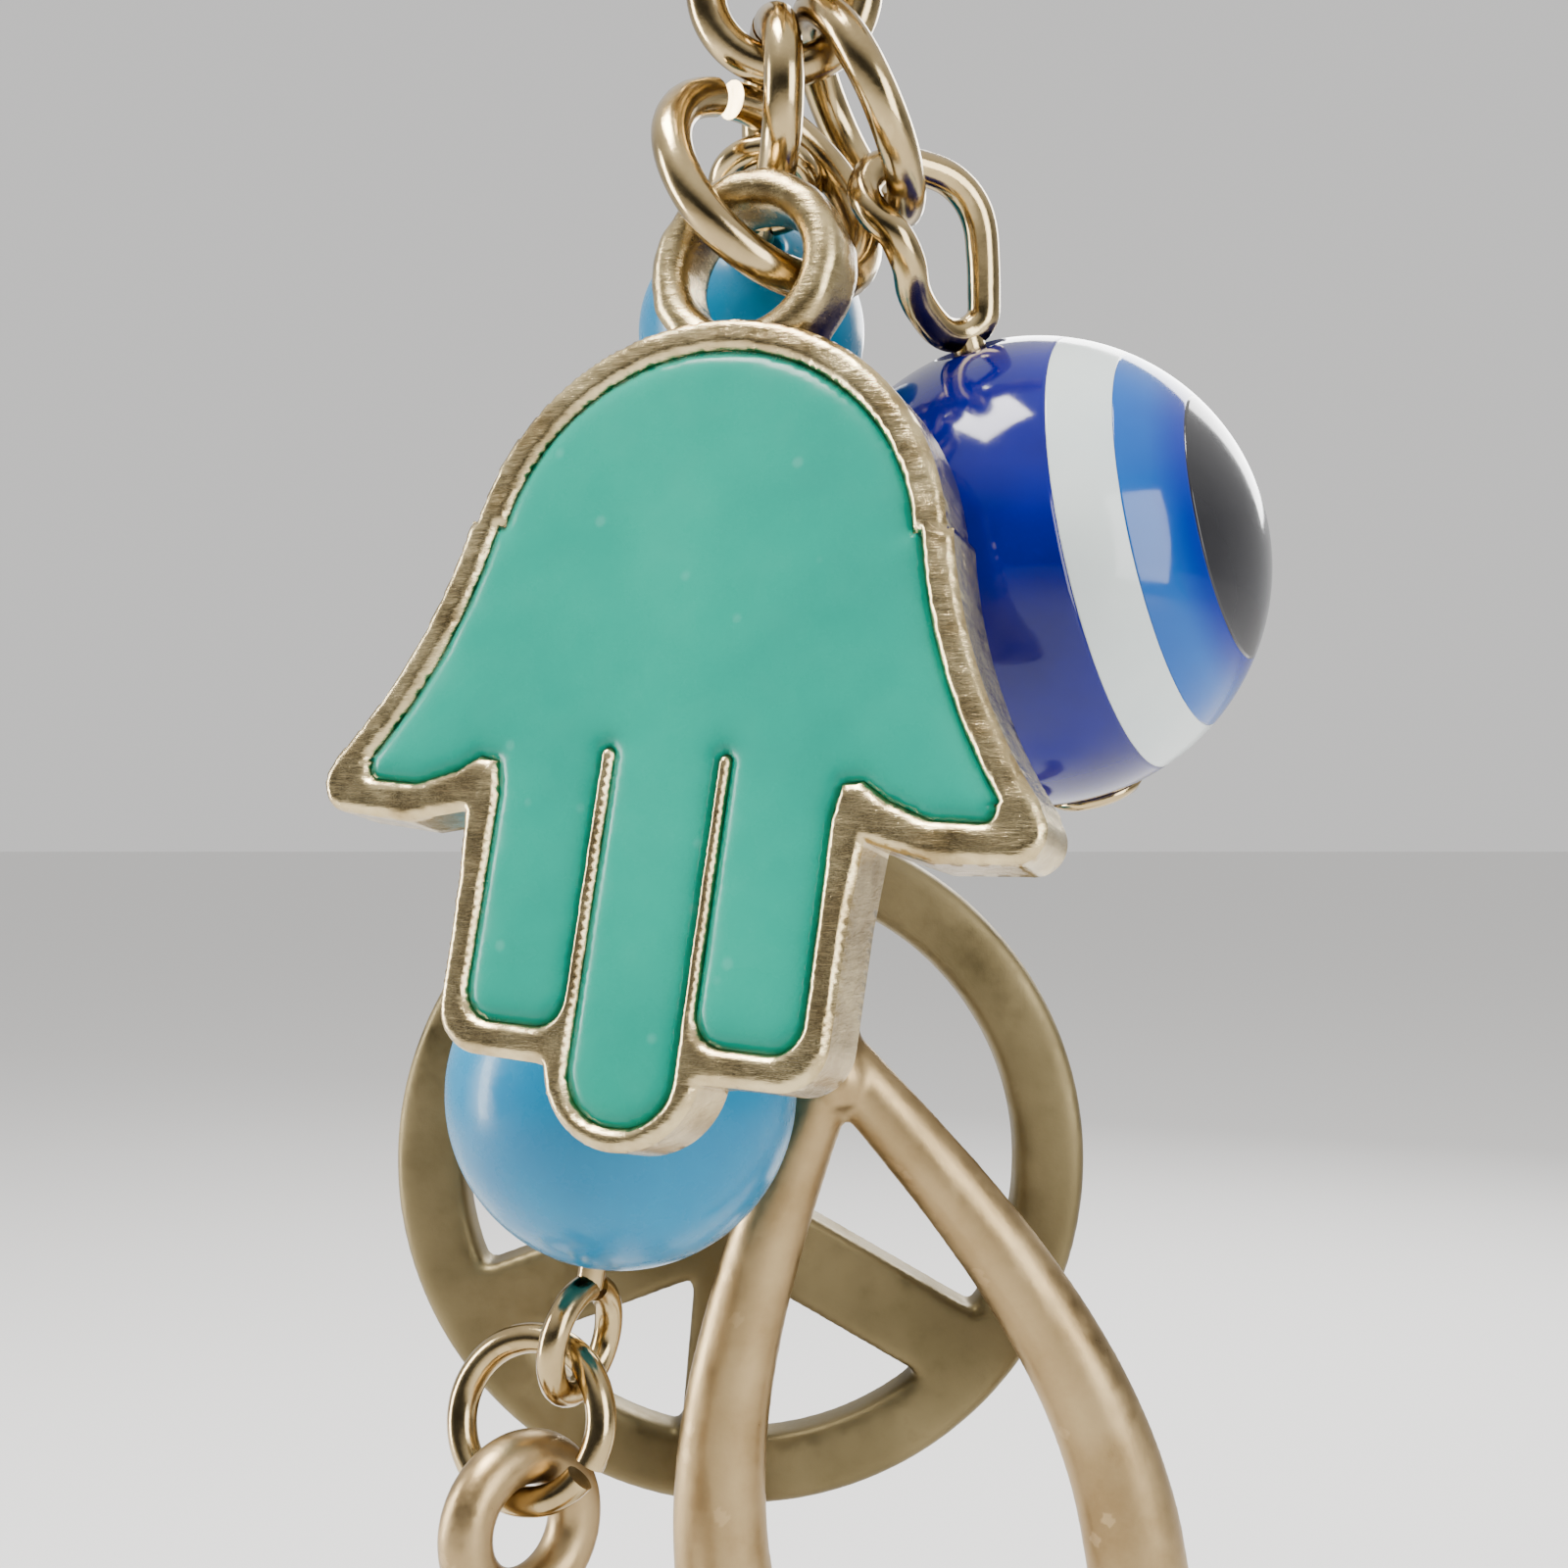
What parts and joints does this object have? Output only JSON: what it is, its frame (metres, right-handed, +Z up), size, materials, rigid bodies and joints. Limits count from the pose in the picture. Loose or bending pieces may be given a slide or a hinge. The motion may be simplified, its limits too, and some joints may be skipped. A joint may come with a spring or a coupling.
{
  "type": "evil eye ornament",
  "caption": "Hanging lucky charm cluster on a split key ring: enamelled hamsa hand, evil eye bead, blue beads, wishbone, medallion and small horseshoe, all linked by small rings.",
  "frame": {"origin": "centre of the split key ring", "axes": "+Z up along the hanging cluster, +Y through the key ring's hole towards the back of the cluster, +X to the right of the hand as its enamelled face is seen"},
  "size_m": [0.022, 0.02, 0.072],
  "materials": {
    "key_ring_gold": "polished, lightly scratched",
    "ring_gold": "polished antique gold plate with darker creases",
    "hand_gold": "pale champagne gold plate over a fine hammered texture",
    "wishbone_gold": "satin matte gold plate",
    "medallion_gold": "matte antique gold plate, olive-brown",
    "teal_enamel": "glossy poured cold enamel, slightly domed",
    "sky_resin": "smooth gloss",
    "cobalt_resin": "gloss",
    "white_resin": "gloss",
    "azure_resin": "gloss",
    "charcoal_resin": "gloss"
  },
  "bodies": {
    "key_ring": {"key_ring": "key_ring_gold"},
    "key_ring_link": {"key_ring_link": "key_ring_gold"},
    "cluster_ring": {"cluster_ring": "ring_gold"},
    "centre_ring": {"centre_ring": "ring_gold"},
    "bead_ring": {"bead_ring": "ring_gold"},
    "hand_ring": {"hand_ring": "ring_gold"},
    "small_bead_pin": {"small_bead_pin": "ring_gold"},
    "small_bead": {"small_bead": "sky_resin"},
    "strand_ring_1": {"strand_ring_1": "ring_gold"},
    "strand_ring_2": {"strand_ring_2": "ring_gold"},
    "strand_ring_3": {"strand_ring_3": "ring_gold"},
    "strand_ring_4": {"strand_ring_4": "ring_gold"},
    "big_bead_pin": {"big_bead_pin": "ring_gold"},
    "big_bead": {"big_bead": "sky_resin"},
    "drop_ring": {"drop_ring": "ring_gold"},
    "drop_charm": {"drop_charm": "wishbone_gold"},
    "fork_ring": {"fork_ring": "ring_gold"},
    "wishbone_ring_1": {"wishbone_ring_1": "ring_gold"},
    "wishbone_ring_2": {"wishbone_ring_2": "ring_gold"},
    "wishbone": {"wishbone": "wishbone_gold"},
    "medallion_ring_1": {"medallion_ring_1": "ring_gold"},
    "medallion_ring_2": {"medallion_ring_2": "ring_gold"},
    "medallion": {"medallion": "medallion_gold"},
    "hand": {"hand_frame": "hand_gold", "hand_enamel": "teal_enamel"},
    "eye_loop": {"eye_loop": "ring_gold"},
    "eye_bead": {"eye_body": "cobalt_resin", "eye_white_right": "white_resin", "eye_blue_right": "azure_resin", "eye_pupil_right": "charcoal_resin", "eye_white_left": "white_resin", "eye_blue_left": "azure_resin", "eye_pupil_left": "charcoal_resin"}
  },
  "joints": [
    {"name": "link_swing", "type": "hinge", "parent": "key_ring", "child": "key_ring_link", "pos_m": [0, 0, -0.01035], "axis": [1, 0, 0], "range_deg": [-18, 18]},
    {"name": "cluster_swing", "type": "hinge", "parent": "key_ring_link", "child": "cluster_ring", "pos_m": [0, 0, -0.01488], "axis": [0, 1, 0], "range_deg": [-25, 25]},
    {"name": "centre_ring_swing", "type": "hinge", "parent": "cluster_ring", "child": "centre_ring", "pos_m": [-0.00048, 0, -0.01706], "axis": [0.9537, 0, -0.3007], "range_deg": [-6, 4]},
    {"name": "bead_ring_swing", "type": "hinge", "parent": "cluster_ring", "child": "bead_ring", "pos_m": [0.00123, 0, -0.01655], "axis": [0.6394, 0, 0.7688], "range_deg": [-4.5, 2.5]},
    {"name": "hand_ring_swing", "type": "hinge", "parent": "centre_ring", "child": "hand_ring", "pos_m": [-0.0005, 0.00167, -0.01807], "axis": [-0.0204, 0.1289, 0.9914], "range_deg": [0, 4.5]},
    {"name": "hand_swing", "type": "hinge", "parent": "hand_ring", "child": "hand", "pos_m": [0.00047, -0.0014, -0.02182], "axis": [0.7451, 0.6669, 0.005], "range_deg": [-10, 10]},
    {"name": "eye_loop_swing", "type": "hinge", "parent": "bead_ring", "child": "eye_loop", "pos_m": [0.00246, -0.00037, -0.01974], "axis": [-0.0723, -0.9472, 0.3125], "range_deg": [-4.5, 8]},
    {"name": "strand_swing", "type": "hinge", "parent": "centre_ring", "child": "small_bead_pin", "pos_m": [-0.00031, 0.00045, -0.01942], "axis": [-0.1526, 0.9633, 0.2207], "range_deg": [-0.5, 8]},
    {"name": "strand_ring_1_swing", "type": "hinge", "parent": "small_bead_pin", "child": "strand_ring_1", "pos_m": [-0.0011, 0.00705, -0.025], "axis": [-0.0645, 0.997, 0.0428], "range_deg": [-4.5, 8]},
    {"name": "strand_ring_2_swing", "type": "hinge", "parent": "strand_ring_1", "child": "strand_ring_2", "pos_m": [-0.00226, 0.00701, -0.02691], "axis": [0.6593, 0, -0.7518], "range_deg": [-8, 8]},
    {"name": "strand_ring_3_swing", "type": "hinge", "parent": "strand_ring_2", "child": "strand_ring_3", "pos_m": [-0.00373, 0.00597, -0.0282], "axis": [-0.4884, 0.7604, -0.428], "range_deg": [-2.5, 8]},
    {"name": "strand_ring_4_swing", "type": "hinge", "parent": "strand_ring_3", "child": "strand_ring_4", "pos_m": [-0.00295, 0.00528, -0.03031], "axis": [-0.7996, -0.587, -0.1263], "range_deg": [-8, 8]},
    {"name": "big_pin_swing", "type": "hinge", "parent": "strand_ring_4", "child": "big_bead_pin", "pos_m": [-0.0027, 0.00543, -0.03261], "axis": [0.5982, -0.7954, -0.0977], "range_deg": [-8, 4.5]},
    {"name": "drop_ring_swing", "type": "hinge", "parent": "big_bead_pin", "child": "drop_ring", "pos_m": [-0.00495, 0.00524, -0.04556], "axis": [-0.4018, -0.8834, 0.2411], "range_deg": [-8, 8]},
    {"name": "drop_charm_swing", "type": "hinge", "parent": "drop_ring", "child": "drop_charm", "pos_m": [-0.00606, 0.00504, -0.04794], "axis": [0.9156, -0.398, -0.0577], "range_deg": [-8, 8]},
    {"name": "fork_ring_swing", "type": "hinge", "parent": "strand_ring_1", "child": "fork_ring", "pos_m": [-0.00051, 0.00701, -0.02736], "axis": [0.9397, 0, 0.342], "range_deg": [-3, 8]},
    {"name": "wishbone_ring_1_swing", "type": "hinge", "parent": "fork_ring", "child": "wishbone_ring_1", "pos_m": [0.0003, 0.00707, -0.02956], "axis": [-0.0119, 0.9994, 0.0328], "range_deg": [-4.5, 3.5]},
    {"name": "wishbone_ring_2_swing", "type": "hinge", "parent": "wishbone_ring_1", "child": "wishbone_ring_2", "pos_m": [0.00055, 0.00716, -0.03227], "axis": [-0.9998, -0.0125, 0.017], "range_deg": [-0.5, 8]},
    {"name": "wishbone_swing", "type": "hinge", "parent": "wishbone_ring_2", "child": "wishbone", "pos_m": [0.0005, 0.00823, -0.03451], "axis": [0.0103, -0.9914, -0.1307], "range_deg": [-8, 8]},
    {"name": "medallion_ring_1_swing", "type": "hinge", "parent": "fork_ring", "child": "medallion_ring_1", "pos_m": [-0.00014, 0.00858, -0.02837], "axis": [-0.3347, 0.2036, 0.92], "range_deg": [-8, 2.5]},
    {"name": "medallion_ring_2_swing", "type": "hinge", "parent": "medallion_ring_1", "child": "medallion_ring_2", "pos_m": [-0.00107, 0.01055, -0.02915], "axis": [-0.8013, -0.5753, -0.164], "range_deg": [-8, 1.5]},
    {"name": "medallion_swing", "type": "hinge", "parent": "medallion_ring_2", "child": "medallion", "pos_m": [-0.0011, 0.0112, -0.03123], "axis": [0.5817, -0.8134, 0.0006], "range_deg": [-2.5, 8]},
    {"name": "eye_bead_spin", "type": "hinge", "parent": "eye_loop", "child": "eye_bead", "pos_m": [0.00537, 0.0025, -0.02715], "axis": [-0.3002, -0.2501, 0.9205], "continuous": true},
    {"name": "small_bead_spin", "type": "hinge", "parent": "small_bead_pin", "child": "small_bead", "pos_m": [-0.00072, 0.004, -0.02168], "axis": [-0.0857, 0.7763, -0.6245], "continuous": true},
    {"name": "big_bead_spin", "type": "hinge", "parent": "big_bead_pin", "child": "big_bead", "pos_m": [-0.00372, 0.00543, -0.03872], "axis": [0.1641, 0, 0.9864], "continuous": true}
  ]
}
